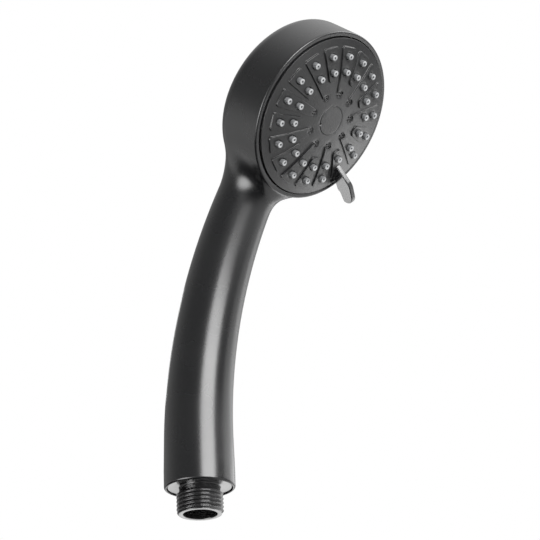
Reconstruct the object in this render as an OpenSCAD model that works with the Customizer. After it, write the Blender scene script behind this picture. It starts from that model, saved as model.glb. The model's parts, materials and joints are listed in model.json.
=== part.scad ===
// Handheld shower head: one moulded body, a turning spray face with a selector lever,
// and the valve, waterway and hose connector that it holds.
// Origin: centre of the hose thread at its first full turn. +Z runs up the handle.
// The spray face looks towards -Y and down.

/* [Body] */
// Outer diameter of the round head
head_d = 80.8; // [76:0.2:90]
// Depth of the head on its own axis, rim to back
head_depth = 25; // [24:0.1:32]
// Lean of the flat back, so that the head is deeper on the handle side
back_lean = 3.3; // [2:0.1:8]
// Radius of the rounded back edge
back_round = 6; // [5:0.5:9]
// Wall of the head round the spray face
rim_wall = 2.2; // [1.6:0.1:3]
// Tilt of the spray face from upright
face_tilt = 38.5; // [34:0.5:42]
// Height of the face centre above the first thread turn
face_height = 170.5; // [160:0.5:185]
// Distance of the face centre in front of the thread axis
face_reach = 76.7; // [72:0.1:80]
// Blend between handle and head
neck_blend = 12; // [6:1:16]

/* [Handle] */
// Diameter of the handle at the hose end
grip_d = 31.9; // [30:0.1:36]
// Loss of radius for each millimetre of handle
grip_taper = 0.0215; // [0.01:0.0005:0.024]
// Height at which the handle starts to bend
bend_start = 33.5; // [31:0.5:42]
// Radius of the bend
bend_r = 227.5; // [210:0.5:235]
// Height of the handle's lower lip
lip_z = 11; // [10.6:0.1:14]
// Diameter of the hollow in the handle
hollow_d = 21; // [16:0.5:21.5]

/* [Hose connector] */
// Major diameter of the pipe thread
thread_d = 20.955; // [16:0.005:22]
// Length of the full thread
thread_length = 8.2; // [6:0.1:9]
// Chamfer on the sealing end
thread_chamfer = 0.8; // [0.4:0.1:1.2]
// Diameter of the relief above the thread
relief_d = 18.4; // [17:0.1:18.8]
// Diameter of the inlet bore
inlet_d = 15.2; // [14:0.1:16]
// Diameter of the glossy flange that closes the handle
flange_d = 28.9; // [26:0.1:29]
// Thickness of that flange
flange_t = 3.2; // [2.4:0.1:4]
// Diameter of the plug that is glued into the handle
plug_d = 23; // [21:0.1:24]
// Length of that plug
plug_length = 14.5; // [12:0.5:16]

/* [Spray face] */
// Radius of the face's dome
dome_r = 132; // [120:1:180]
// Height of the dome's crown over the tips of the outer nozzles
dome_rise = 1; // [0.8:0.1:1.4]
// How far the rim of the head lies behind those tips
rim_drop = 5.3; // [5:0.1:6.5]
// Thickness of the face plate
plate_t = 2; // [1.6:0.1:2.2]
// Height of the raised pads
pad_h = 0.75; // [0.4:0.05:1]
// Half width of a pad, in degrees
pad_half = 7.5; // [6:0.1:8]
// Number of nozzle columns
columns = 18; // [18]
// Distance of the outer ring of nozzles from the edge of the face plate
outer_ring_inset = 7.6; // [7:0.1:9]
// Distance between the two rings of nozzles
ring_gap = 7.05; // [6.4:0.05:8]
// Radius of the ring of massage jets
jet_ring_r = 12.6; // [11.5:0.1:13.5]
// Diameter of a nozzle at its tip
nozzle_d = 2.7; // [2.2:0.1:3]
// Diameter of a nozzle's hole
nozzle_bore = 0.9; // [0.6:0.1:1.2]
// Diameter of a massage jet
jet_d = 3.4; // [3:0.1:4]
// Diameter of the centre cap
cap_d = 13.84; // [12:0.02:15]

/* [Selector] */
// Direction of the lever, from the handle's side of the face towards the right hand
lever_from_handle = 55.6; // [45:0.1:75]
// Thickness of the lever
lever_t = 2.4; // [2:0.1:3]
// Distance from the edge of the face plate to the lever's foot
lever_foot_inset = 10.3; // [10:0.1:12]
// How far the lever reaches past the head
lever_reach = 8.1; // [6:0.1:12]
// Height of the lever's ridge over the tips of the outer nozzles
lever_top = 5.7; // [4:0.1:8]
// Gap between the lever and the rim that it passes over
lever_gap = 1; // [0.6:0.1:1.5]
// Angle between two clicks of the selector
click_angle = 40; // [40]
// Radius of the detent ball
ball_r = 2; // [1.5:0.1:2.2]

/* [Waterway] */
// Outer diameter of the inner tube
tube_d = 11; // [9:0.2:11]
// Wall of the inner tube
tube_wall = 1.3; // [1:0.1:1.8]
// Diameter of the spindle that the face turns on
spindle_d = 12; // [10:0.2:13]
// Distance of the port that feeds the nozzles from the edge of the valve seat
rain_port_inset = 12.8; // [12:0.1:13.2]
// Radius of the port that feeds the massage jets
jet_port_r = 13.5; // [13.4:0.1:14]

/* [Fits] */
// Radial clearance of a running fit
running = 0.05; // [0.02:0.01:0.1]
// Clearance between pieces that are pushed together and glued
snug = 0.05; // [0.02:0.01:0.1]
// Gap around the turning face plate
face_gap = 0.5; // [0.4:0.05:0.8]

/* [Hidden] */

eps = 0.01;
head_r = head_d / 2;
bore_r = head_r - rim_wall;
plate_r = bore_r - face_gap;
outer_ring_r = plate_r - outer_ring_inset;
inner_ring_r = outer_ring_r - ring_gap;
lever_foot_r = plate_r - lever_foot_inset;
lever_tip_r = head_r + lever_reach;
grip_r = grip_d / 2;

// Levels along the head's own axis, from the plane of the outer nozzle tips
rim_z = -rim_drop;
back_z = -rim_drop - head_depth;
ledge_z = -16;
seat_t = 3;
seat_z = ledge_z + seat_t;
rotor_gap = 1.7;
rotor_z = seat_z + rotor_gap;
rotor_t = 2.3;
floor_z = -24;
spindle_r = spindle_d / 2;
washer_t = 0.8;
hub_top = -3.75;
spindle_top = hub_top + 0.1;
mat_t = 1.2;
skirt_t = 2.5;
rim_bevel = 0.4;
inner_r = plate_r - skirt_t;
face_touch = 0.02;

// Directions of what repeats round the face
pitch = 360 / columns;
lever_at = -90 + lever_from_handle;
nozzle_angles = [for (k = [0 : columns - 1]) lever_at + k * pitch];
jet_angles = [for (k = [1 : 2 : columns - 1]) nozzle_angles[k]];

// The valve: where the two fixed ports and the detent stand, and what passes over them
rain_at = 150;
jet_at = 330;
detent_at = 60;
detent_floor = -18.6;
detent_wall = 1.2;
ball_z = rotor_z - running - ball_r;
rain_port_r = bore_r - rain_port_inset;
port_r = 4.65;
port_wall = 1.15;
port_floor = -21;
port_floor_t = 1.2;
port_feed_r = 2.6;
cup_bottom = -17.3;
cup_bore_r = 2.8;
floor_r = rain_port_r + port_r + port_wall + 0.3;
detent_ring_r = floor_r - ball_r - detent_wall - 0.2;
coil_r = 3.6;
coil_wire = 0.3;

// Fasteners: M4 in the middle, M2.5 in the seat
m4_r = 2;
m25_r = 1.25;
seat_screw_ring_r = bore_r - 2.8;
seat_screw_angles = [90, 210, 330];
seat_head_r = 2.2;
seat_head_h = 1.3;
seat_shank = 7.2;
centre_head_r = 3.6;
centre_head_h = 2;
centre_shank = 12;

// Levels up the handle
flange_z = lip_z + 0.6;
plug_z = flange_z + flange_t;
plug_top = plug_z + plug_length;
shelf_z = flange_z + 0.4;
tube_z = flange_z + 2.4;
tube_r = tube_d / 2;
hollow_end = 28.2;
tube_end = 33.4;
pocket_end = 36.7;
upper_seal_at = 30.6;
lower_seal_z = tube_z + 6;
seal_r = 0.9;

// ---- outer form of the body: handle and head as one blended skin ----

// Height of the section of the bend at angle t, and its distance in front of the thread axis
function bend_point(t) = [0, -bend_r * (1 - cos(t)), bend_start + bend_r * sin(t)];

// Unit vectors of the face: outward normal, and towards the handle
face_n = [0, -cos(face_tilt), -sin(face_tilt)];
face_u = [0, sin(face_tilt), -cos(face_tilt)];
face_c = [0, -face_reach, face_height];

function ease(x) = let (k = max(0, min(1, x))) k * k * (3 - 2 * k);

// Radius of the handle's round section at a length along its centre line
lip_round = 1;
function lip_cut(s) =
    let (k = max(0, lip_round - (s - lip_z)))
    lip_round - sqrt(max(0, lip_round * lip_round - k * k));
fade_from = 30.1;
fade_to = 40.4;
fade = 5;
function grip_radius(s, t) =
    grip_r - grip_taper * max(0, s - lip_z - 8) - fade * ease((t - fade_from) / (fade_to - fade_from))
    - (s < lip_z + lip_round ? lip_cut(s) : 0);

// Signed distance to the handle alone
function handle_field(p) =
    let (t = max(0, min(fade_to + 2, atan2(p[2] - bend_start, p[1] + bend_r))),
         c = p[2] < bend_start ? [0, 0, max(p[2], lip_z)] : bend_point(t),
         s = p[2] < bend_start ? p[2] : bend_start + bend_r * t * PI / 180)
    norm(p - c) - grip_radius(s, t);

// Signed distance to the head alone: a cylinder with a leaning flat back and a rounded edge
function head_field(p) =
    let (q = p - face_c, h = q * face_n, v = q * face_u,
         side = norm([q[0], v]) - head_r + back_round,
         back = -(h - back_z) * cos(back_lean) - v * sin(back_lean) + back_round)
    max(min(max(side, back), 0) + norm([max(side, 0), max(back, 0)]) - back_round, h + 2);

// Both, melted together where they meet, but not at the rim, which stays round
rim_clear = 3;
function body_field(p) =
    let (a = handle_field(p), b = head_field(p), behind = rim_z - (p - face_c) * face_n,
         k = max(eps, neck_blend * ease((behind + rim_clear / 6) / rim_clear)),
         m = max(0, min(1, 0.5 + 0.5 * (b - a) / k)))
    b * (1 - m) + a * m - k * m * (1 - m);

// Distance from an inner point to the skin in a direction, by halving
function reach(c, d, lo = 0, hi = 60, n = 15) =
    n == 0 ? (lo + hi) / 2
    : let (mid = (lo + hi) / 2) body_field(c + d * mid) < 0 ? reach(c, d, mid, hi, n - 1)
                                                           : reach(c, d, lo, mid, n - 1);

// Sections of the skin: [centre, direction in the plane of symmetry, side stretch]. They run up
// the handle, then fan out about a line in front of the neck, and the last lies on the rim.
pivot_v = head_r + 6.7;
pivot = face_c + face_u * pivot_v + face_n * (rim_z + 0.5);
pivot_at = atan2(pivot[2] - bend_start, pivot[1] + bend_r);
pivot_gap = norm(pivot - bend_point(pivot_at));
function grip_section(s) = [[0, 0, s], [0, 1, 0], 1];
function bend_section(t) = [bend_point(t), [0, cos(t), sin(t)], 1];
function fan_section(f) =
    let (a = pivot_at + (90 + face_tilt - pivot_at) * f, d = [0, cos(a), sin(a)],
         c = pivot + d * (pivot_gap + (pivot_v - pivot_gap) * ease(f)))
    [c, d, 1 + 0.35 * sin(180 * f)];

grip_rings = [0, 0.15, 0.4, 1, 3];
sections = concat(
    [for (s = grip_rings) grip_section(lip_z + s)],
    [for (s = [lip_z + 10 : 8 : bend_start]) grip_section(s)],
    [for (f = [0.1 : 0.1 : 0.9]) bend_section(pivot_at * f)],
    [bend_section(pivot_at * 0.95)],
    [for (f = [0 : 0.04 : 0.17]) fan_section(f)],
    [for (f = [0.2 : 0.025 : 0.48]) fan_section(f)],
    [for (f = [0.5 : 0.0125 : 0.905]) fan_section(f)],
    [for (f = [0.925, 0.95, 0.98, 1]) fan_section(f)]);
sides = 72;

// Point k of a section: a ray in its plane, followed to the skin
function skin_point(sec, k) =
    let (a = 360 * k / sides, v = [1, 0, 0] * (sec[2] * cos(a)) + sec[1] * sin(a), d = v / norm(v))
    sec[0] + d * reach(sec[0], d);

module body_skin() {
    pts = [for (sec = sections) for (k = [0 : sides - 1]) skin_point(sec, k)];
    rings = len(sections);
    walls = [for (i = [0 : rings - 2]) for (k = [0 : sides - 1])
        let (a = i * sides + k, b = i * sides + (k + 1) % sides)
        each [[a, b + sides, b], [a, a + sides, b + sides]]];
    bottom = [for (k = [0 : sides - 1]) k];
    top = [for (k = [sides - 1 : -1 : 0]) (rings - 1) * sides + k];
    polyhedron(pts, concat([bottom], walls, [top]));
}

// ---- frames and small shapes that several pieces use ----

module head_frame() {
    translate(face_c) rotate([90 + face_tilt, 0, 0]) children();
}

// Children stand at radius r and direction a round the face's axis
module on_ring(r, a) {
    rotate([0, 0, a]) translate([r, 0, 0]) children();
}

// A 2D section carried round the handle's bend, from angle a0 to a1
module along_bend(a0, a1) {
    translate([0, -bend_r, bend_start]) rotate(120, [1, 1, 1]) rotate([0, 0, a0])
        rotate_extrude(angle = a1 - a0, $fn = 180) translate([bend_r, 0]) children();
}

module tube(r_out, r_in, z0, z1, fn = 96) {
    translate([0, 0, z0]) difference() {
        cylinder(r = r_out, h = z1 - z0, $fn = fn);
        translate([0, 0, -eps]) cylinder(r = r_in, h = z1 - z0 + 2 * eps, $fn = fn);
    }
}

module disc(r, z0, z1, fn = 96) {
    translate([0, 0, z0]) cylinder(r = r, h = z1 - z0, $fn = fn);
}

// A frustum from radius r0 at z0 to radius r1 at z1
module bevel(r0, r1, z0, z1, fn = 96) {
    translate([0, 0, z0]) cylinder(r1 = r0, r2 = r1, h = z1 - z0, $fn = fn);
}

// An O-ring whose outside has radius r
module o_ring(r, section, z) {
    translate([0, 0, z]) rotate_extrude($fn = 96) translate([r - section, 0]) circle(r = section, $fn = 24);
}

// Cross recess for a screw driver, cut down from z
module cross_recess(z, span, depth) {
    for (a = [0, 90]) rotate([0, 0, a]) translate([-span / 2, -span / 10, z - depth])
        cube([span, span / 5, depth + eps]);
}

// A compression spring: a wire swept along a helix
module coil(r, wire, z0, z1, turns) {
    ring = 6;
    steps = turns * 12;
    rise = z1 - z0 - 2 * wire;
    pts = [for (i = [0 : steps]) for (k = [0 : ring - 1])
        let (a = 30 * i, b = 60 * k, d = r + wire * cos(b))
        [d * cos(a), d * sin(a), z0 + wire + rise * i / steps + wire * sin(b)]];
    walls = [for (i = [0 : steps - 1]) for (k = [0 : ring - 1])
        let (a = i * ring + k, b = i * ring + (k + 1) % ring)
        each [[a, a + ring, b], [b, a + ring, b + ring]]];
    start = [for (k = [0 : ring - 1]) k];
    stop = [for (k = [ring - 1 : -1 : 0]) steps * ring + k];
    polyhedron(pts, concat([start], walls, [stop]));
}

// Height of the domed face at radius r
function dome(r) = dome_rise - dome_r + sqrt(dome_r * dome_r - r * r);

// The dome as points from radius r0 to r1, moved by dz
function dome_arc(r0, r1, dz, n = 16) =
    [for (i = [0 : n]) let (r = r0 + (r1 - r0) * i / n) [r, dome(r) + dz]];

// ---- fixed pieces ----

module body() {
    color("#2b2c2e") difference() {
        body_skin();
        head_frame() {
            disc(head_r + 3, rim_z, rim_z + 9);
            disc(bore_r, ledge_z, rim_z + eps, 180);
            bevel(bore_r, bore_r + rim_bevel + eps, rim_z - rim_bevel, rim_z + eps, 180);
            disc(floor_r, floor_z, ledge_z + eps, 180);
            for (a = seat_screw_angles) on_ring(seat_screw_ring_r, a)
                disc(m25_r + face_touch, seat_z - seat_head_h - seat_shank - 0.5, ledge_z + eps, 32);
        }
        disc(flange_d / 2 + 0.3, lip_z - eps, plug_z);
        disc(plug_d / 2 + snug, plug_z - eps, plug_top);
        disc(hollow_d / 2, plug_top - eps, bend_start);
        along_bend(0, hollow_end) circle(d = hollow_d, $fn = 64);
        along_bend(hollow_end - 0.1, pocket_end) circle(r = tube_r + snug, $fn = 64);
        along_bend(upper_seal_at - 0.27, upper_seal_at + 0.27) circle(r = tube_r + 2 * seal_r, $fn = 64);
    }
}

module hose_connector() {
    plug_groove_r = plug_d / 2 + snug - 2 * seal_r - face_touch;
    color("#1f2022") difference() {
        union() {
            translate([0, 0, -thread_chamfer])
                cylinder(d1 = thread_d - 2 * thread_chamfer, d2 = thread_d, h = thread_chamfer, $fn = 96);
            disc(thread_d / 2, 0, thread_length);
            disc(relief_d / 2, thread_length - eps, flange_z + eps);
            disc(flange_d / 2, flange_z, plug_z);
            disc(plug_d / 2, plug_z - eps, plug_top);
        }
        disc(inlet_d / 2, -thread_chamfer - eps, shelf_z);
        disc(tube_r - tube_wall, shelf_z - eps, tube_z + eps);
        disc(tube_r + snug, tube_z, plug_top + eps);
        disc(tube_r + 2 * seal_r, lower_seal_z - seal_r, lower_seal_z + seal_r);
        tube(plug_d / 2 + 1, plug_groove_r, plug_top - 5.2 - seal_r, plug_top - 5.2 + seal_r);
    }
}

module connector_seal() {
    color("#171717") o_ring(plug_d / 2 + snug - face_touch, seal_r, plug_top - 5.2);
}

// A framed mesh that catches grit where the water enters
filter_z = 6.2;
filter_t = 1.4;
module filter_screen() {
    r = inlet_d / 2 - snug;
    color("#9a9c9e") {
        tube(r, r - 1, filter_z, filter_z + filter_t);
        difference() {
            disc(r - 1 + eps, filter_z + 0.4, filter_z + 0.9);
            for (i = [-4 : 4]) for (j = [-4 : 4]) {
                x = (i + j / 2) * 1.5;
                y = j * 1.5 * sqrt(3) / 2;
                if (norm([x, y]) < r - 1.7) translate([x, y, 0]) disc(0.5, filter_z, filter_z + filter_t, 16);
            }
        }
    }
}

module flow_limiter() {
    r = inlet_d / 2 - snug;
    z0 = filter_z + filter_t;
    color("#5f7d8c") difference() {
        disc(r, z0, shelf_z);
        disc(r - 1.6, z0 - eps, z0 + 1.2);
        for (a = [0 : 60 : 300]) on_ring(r * 0.35, a) disc(r * 0.12, z0, shelf_z + eps, 32);
    }
}

module inner_tube() {
    color("#d8d9d6") {
        tube(tube_r, tube_r - tube_wall, tube_z, bend_start, 64);
        along_bend(0, tube_end) difference() {
            circle(r = tube_r, $fn = 64);
            circle(r = tube_r - tube_wall, $fn = 64);
        }
    }
}

module tube_seals() {
    color("#171717") {
        o_ring(tube_r + 2 * seal_r, seal_r, lower_seal_z);
        translate([0, -bend_r, bend_start]) rotate(120, [1, 1, 1]) rotate([0, 0, upper_seal_at])
            translate([bend_r, 0, 0]) rotate([90, 0, 0]) o_ring(tube_r + 2 * seal_r, seal_r, 0);
    }
}

// The fixed half of the selector valve, with the spindle that the face turns on
seal_section = 0.7;
spindle_seal_z = -8;
seat_seal_r = floor_r + 1.9;
module valve_seat() {
    ports = [[rain_port_r, rain_at], [jet_port_r, jet_at]];
    color("#c9cac8") head_frame() difference() {
        union() {
            disc(bore_r - snug, ledge_z, seat_z, 180);
            disc(spindle_r, seat_z - eps, spindle_top);
            for (p = ports) on_ring(p[0], p[1])
                disc(port_r + port_wall, port_floor - port_floor_t, ledge_z + eps, 64);
            on_ring(detent_ring_r, detent_at)
                disc(ball_r + detent_wall, detent_floor - detent_wall, ledge_z + eps, 48);
        }
        for (p = ports) on_ring(p[0], p[1]) {
            disc(port_r, port_floor, seat_z + eps, 64);
            disc(port_feed_r, port_floor - port_floor_t - eps, port_floor + eps, 48);
        }
        on_ring(detent_ring_r, detent_at) disc(ball_r + running, detent_floor, seat_z + eps, 48);
        for (a = seat_screw_angles) on_ring(seat_screw_ring_r, a) {
            disc(m25_r + 0.2, ledge_z - eps, seat_z, 32);
            disc(seat_head_r + 0.1, seat_z - seat_head_h, seat_z + eps, 48);
        }
        disc(m4_r + face_touch, ledge_z + 0.6, spindle_top + eps, 48);
        tube(spindle_r + 1, spindle_r + running - face_touch - 2 * seal_section - face_touch,
             spindle_seal_z - seal_section, spindle_seal_z + seal_section);
        tube(seat_seal_r, seat_seal_r - 2 * seal_section, ledge_z - eps, ledge_z + 1.36 * seal_section, 180);
    }
}

module seat_seal() {
    color("#171717") head_frame() tube(seat_seal_r - face_touch, seat_seal_r - 2 * seal_section + face_touch,
                                       ledge_z, ledge_z + 1.3 * seal_section, 180);
}

module seat_screws() {
    color("#b9bbbd") head_frame() for (a = seat_screw_angles) on_ring(seat_screw_ring_r, a) difference() {
        union() {
            disc(seat_head_r, seat_z - seat_head_h, seat_z, 48);
            disc(m25_r, seat_z - seat_head_h - seat_shank, seat_z - seat_head_h + eps, 32);
        }
        cross_recess(seat_z, 1.2 * seat_head_r, 0.8);
    }
}

module port_seals() {
    color("#3a3b3d") head_frame() for (p = [[rain_port_r, rain_at], [jet_port_r, jet_at]]) on_ring(p[0], p[1])
        tube(port_r - snug, cup_bore_r, cup_bottom, rotor_z - face_touch, 48);
}

module port_springs() {
    color("#b9bbbd") head_frame() for (p = [[rain_port_r, rain_at], [jet_port_r, jet_at]]) on_ring(p[0], p[1])
        coil(coil_r, coil_wire, port_floor, cup_bottom, 3);
}

module thrust_washer() {
    color("#e4e2da") head_frame() tube(1.43 * spindle_r, spindle_r + 0.1, seat_z, rotor_z - face_touch);
}

module spindle_seal() {
    color("#171717") head_frame() o_ring(spindle_r + running - face_touch, seal_section, spindle_seal_z);
}

// The detent ball stands level with the turning disc and springs out into its pockets
module detent_ball() {
    color("#c8cacc") head_frame() on_ring(detent_ring_r, detent_at) translate([0, 0, ball_z])
        sphere(r = ball_r, $fn = 48);
}

module detent_spring() {
    color("#b9bbbd") head_frame() on_ring(detent_ring_r, detent_at)
        coil(ball_r - 0.6, 0.2, detent_floor, ball_z - ball_r * 0.76, 4);
}

module retaining_washer() {
    color("#c8cacc") head_frame() tube(spindle_r + 2, m4_r + 0.1, spindle_top, spindle_top + washer_t);
}

module centre_screw() {
    z = spindle_top + washer_t;
    color("#b9bbbd") head_frame() difference() {
        union() {
            disc(centre_head_r, z, z + centre_head_h, 64);
            disc(m4_r, z - centre_shank, z + eps, 48);
        }
        cross_recess(z + centre_head_h, 1.2 * centre_head_r, 0.6 * centre_head_h);
    }
}

// ---- pieces that turn with the lever ----

ring_wall_r = 18;
jet_feed_r = 2.4;
module rotor_back() {
    edge_r = inner_r - snug;
    color("#55585b") head_frame() difference() {
        union() {
            disc(edge_r, rotor_z, rotor_z + rotor_t, 180);
            disc(spindle_r + 3, rotor_z, hub_top);
            tube(ring_wall_r + 1.5, ring_wall_r, rotor_z + rotor_t - eps, dome(ring_wall_r + 1.5) - plate_t - mat_t - 0.1);
            tube(edge_r, edge_r - 1.8, rotor_z + rotor_t - eps, dome(edge_r) - plate_t - mat_t - 0.1, 180);
        }
        disc(spindle_r + running, rotor_z - eps, hub_top + eps);
        for (a = [0, click_angle]) {
            on_ring(rain_port_r, rain_at - a) disc(port_feed_r, rotor_z - eps, rotor_z + rotor_t + eps, 48);
            on_ring(jet_port_r, jet_at - click_angle - a)
                disc(jet_feed_r, rotor_z - eps, rotor_z + rotor_t + eps, 48);
        }
        for (k = [0 : 2]) on_ring(detent_ring_r, detent_at - k * click_angle)
            translate([0, 0, rotor_z - ball_r + 0.5]) sphere(r = ball_r + 0.1, $fn = 48);
        tube(edge_r + 1, edge_r - 1.5, rotor_z + 0.4, rotor_z + rotor_t - 0.4, 180);
    }
}

module chamber_gasket() {
    color("#171717") head_frame() o_ring(inner_r - face_touch, 0.7, rotor_z + rotor_t / 2);
}

nozzle_h = 2.45;
nozzle_root_r = nozzle_d / 2 + 0.1;
nozzle_gap = 0.35;
// A pair [radius, direction] for each nozzle: the lever takes one place of the outer ring
nozzle_places = concat(
    [for (a = nozzle_angles) [inner_ring_r, a]],
    [for (k = [1 : columns - 1]) [outer_ring_r, nozzle_angles[k]]]);

module nozzle_mat() {
    r0 = spindle_r + 3.3;
    r1 = inner_r - 0.6;
    back = -plate_t - snug - mat_t;
    color("#8b8d8f") head_frame() difference() {
        union() {
            rotate_extrude($fn = 180) polygon(concat(
                dome_arc(r0, r1, -plate_t - snug),
                [for (i = [16 : -1 : 0]) let (r = r0 + (r1 - r0) * i / 16) [r, dome(r) + back]]));
            for (p = nozzle_places) on_ring(p[0], p[1]) translate([0, 0, dome(p[0]) - plate_t - mat_t / 2])
                cylinder(r1 = nozzle_root_r, r2 = nozzle_d / 2, h = plate_t + mat_t / 2 + nozzle_h, $fn = 32);
        }
        for (p = nozzle_places) on_ring(p[0], p[1]) {
            disc(nozzle_bore / 2, dome(p[0]) - 5, dome(p[0]) + 5, 24);
            disc(0.85, dome(p[0]) - 5, dome(p[0]) + 0.4, 24);
        }
        for (a = jet_angles) on_ring(jet_ring_r, a) disc(jet_d / 2 + 0.5, -6, 2, 32);
    }
}

module massage_jets() {
    top = dome(jet_ring_r) - 0.15;
    color("#1a1b1c") head_frame() for (a = jet_angles) on_ring(jet_ring_r, a) difference() {
        union() {
            disc(jet_d / 2 - snug, top - plate_t - 1.2, top, 32);
            disc(jet_d / 2 + 0.4, top - plate_t - 1.2, dome(jet_ring_r + jet_d / 2) - plate_t - 0.1, 32);
        }
        for (b = [45 : 90 : 315]) on_ring(0.85, b) disc(0.42, top - 0.9, top + eps, 16);
        disc(1.2, top - plate_t - 1.3, top - 0.8, 24);
    }
}

// Outline of a pad between radii r1 and r2, half an angle hw each way, corners rounded by c
pad_corner = 1.3;
function pad_corner_arc(r, hw, c, side, from) =
    let (a = side * (hw - c / r * 180 / PI))
    [for (b = [0 : 22.5 : 90]) let (t = a + side * (from + b)) r * [cos(a), sin(a)] + c * [cos(t), sin(t)]];
function reversed(v) = [for (i = [len(v) - 1 : -1 : 0]) v[i]];
function pad_outline(r1, r2, hw, c1, c2) = concat(
    reversed(pad_corner_arc(r2 - c2, hw, c2, -1, 0)),
    [for (b = [-0.5 : 0.5 : 0.5]) r2 * [cos(b * hw), sin(b * hw)]],
    pad_corner_arc(r2 - c2, hw, c2, 1, 0),
    pad_corner_arc(r1 + c1, hw, c1, 1, 90),
    reversed(pad_corner_arc(r1 + c1, hw, c1, -1, 90)));

pad_outer_r = plate_r - 3.4;
long_pad_r = jet_ring_r - jet_d / 2 + 0.2;
short_pad_r = inner_ring_r - 4.7;
module pads() {
    difference() {
        intersection() {
            union() {
                for (k = [0 : columns - 1]) rotate([0, 0, nozzle_angles[k]])
                    translate([0, 0, dome(pad_outer_r) - plate_t]) linear_extrude(8) polygon(k % 2 == 1
                        ? pad_outline(long_pad_r, pad_outer_r, pad_half, 1.2, pad_corner)
                        : pad_outline(short_pad_r, pad_outer_r, pad_half, 2, pad_corner));
            }
            translate([0, 0, dome_rise - dome_r]) sphere(r = dome_r + pad_h, $fn = 240);
        }
        translate([0, 0, dome_rise - dome_r]) sphere(r = dome_r - plate_t / 2, $fn = 240);
    }
}

// Domed plate with its turned-down skirt, as one turned profile
edge_round = 1.2;
cap_t = 1.2;
module plate_blank() {
    top_r = plate_r - edge_round;
    edge_z = dome(top_r) - edge_round;
    rotate_extrude($fn = 180) polygon(concat(
        dome_arc(0, top_r, 0, 20),
        [for (b = [75 : -15 : 0]) [top_r, edge_z] + edge_round * [cos(b), sin(b)]],
        [[plate_r, rotor_z], [inner_r, rotor_z], [inner_r, dome(inner_r) - plate_t]],
        reversed(dome_arc(0, inner_r - 0.5, -plate_t))));
}

module spray_plate() {
    color("#3b3d40") head_frame() difference() {
        union() {
            plate_blank();
            pads();
        }
        for (p = nozzle_places) on_ring(p[0], p[1]) disc(nozzle_root_r + nozzle_gap, -8, 4, 32);
        for (a = jet_angles) on_ring(jet_ring_r, a) disc(jet_d / 2, -8, 4, 32);
        disc(cap_d / 2 + snug, dome_rise - cap_t, 4);
        disc(5, -4, 4);
        lever_blade(lever_t + 2 * snug, snug);
    }
}

cap_bevel = 0.2;
module centre_cap() {
    cap_top = dome_rise - 0.1;
    color("#3b3d40") head_frame() difference() {
        union() {
            disc(cap_d / 2, dome_rise - cap_t, cap_top - cap_bevel);
            bevel(cap_d / 2, cap_d / 2 - cap_bevel, cap_top - cap_bevel, cap_top);
            tube(4.9, 4, dome_rise - cap_t - 0.6, dome_rise - cap_t + eps);
        }
        on_ring(cap_d / 2, 218) disc(0.5, dome_rise - 0.7, dome_rise + eps, 24);
    }
}

// The lever: a blade whose straight ridge bends over a knee into a flat top and a round tip
knee_r = 6;
lever_round = 5.3;
lever_flat = 4.8;
module lever_blade(t, drop) {
    foot = [lever_foot_r, dome(lever_foot_r) + pad_h];
    tip = [lever_tip_r - lever_round, lever_top - lever_round];
    knee = [tip[0] - lever_flat, lever_top - knee_r];
    run = knee - foot;
    slope = atan2(run[1], run[0]) + asin(knee_r / norm(run));
    over_rim = rim_z + lever_gap - drop;
    sunk = 1.5 + drop;
    rotate([0, 0, lever_at]) translate([0, t / 2, 0]) rotate([90, 0, 0]) linear_extrude(t) polygon(concat(
        [[lever_foot_r - drop, dome(lever_foot_r) - sunk], foot - [drop, 0]],
        [for (i = [0 : 6]) let (a = 90 + slope - slope * i / 6) knee + knee_r * [cos(a), sin(a)]],
        [for (i = [0 : 12]) let (a = 90 - 100 * i / 12) tip + lever_round * [cos(a), sin(a)]],
        [[lever_tip_r - 0.6, over_rim + 3.25], [lever_tip_r - 1.6, over_rim + 3]],
        [[head_r + 3, over_rim + 1.9], [head_r + 2.3, over_rim + 1], [head_r + 1.8, over_rim + 0.7]],
        [[plate_r + 0.3, over_rim], [inner_r, over_rim], [inner_r, dome(inner_r) - sunk]],
        [[(inner_r + lever_foot_r) / 2, dome((inner_r + lever_foot_r) / 2) - sunk]]));
}

module selector_lever() {
    color("#4a4c4f") head_frame() lever_blade(lever_t, 0);
}

body();
hose_connector();
connector_seal();
filter_screen();
flow_limiter();
inner_tube();
tube_seals();
valve_seat();
seat_seal();
seat_screws();
port_seals();
port_springs();
thrust_washer();
spindle_seal();
detent_ball();
detent_spring();
rotor_back();
chamber_gasket();
nozzle_mat();
massage_jets();
spray_plate();
retaining_washer();
centre_screw();
centre_cap();
selector_lever();
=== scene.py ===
# %% [markdown]
# # A hand shower, dressed in Blender
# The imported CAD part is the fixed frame. It says where everything is and what moves. This script
# adds what CAD leaves plain: the smooth skin of the moulded body, the rounded pads and holes of the
# spray face, the soft nozzles, the thread, and a finish for every piece.
# Sizes below are in millimetres and are turned into metres only when a mesh is made.

# %% Load the frame
import bpy
import json
import math
import numpy as np
from mathutils import Matrix, Vector
from mathutils.geometry import delaunay_2d_cdt


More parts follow.
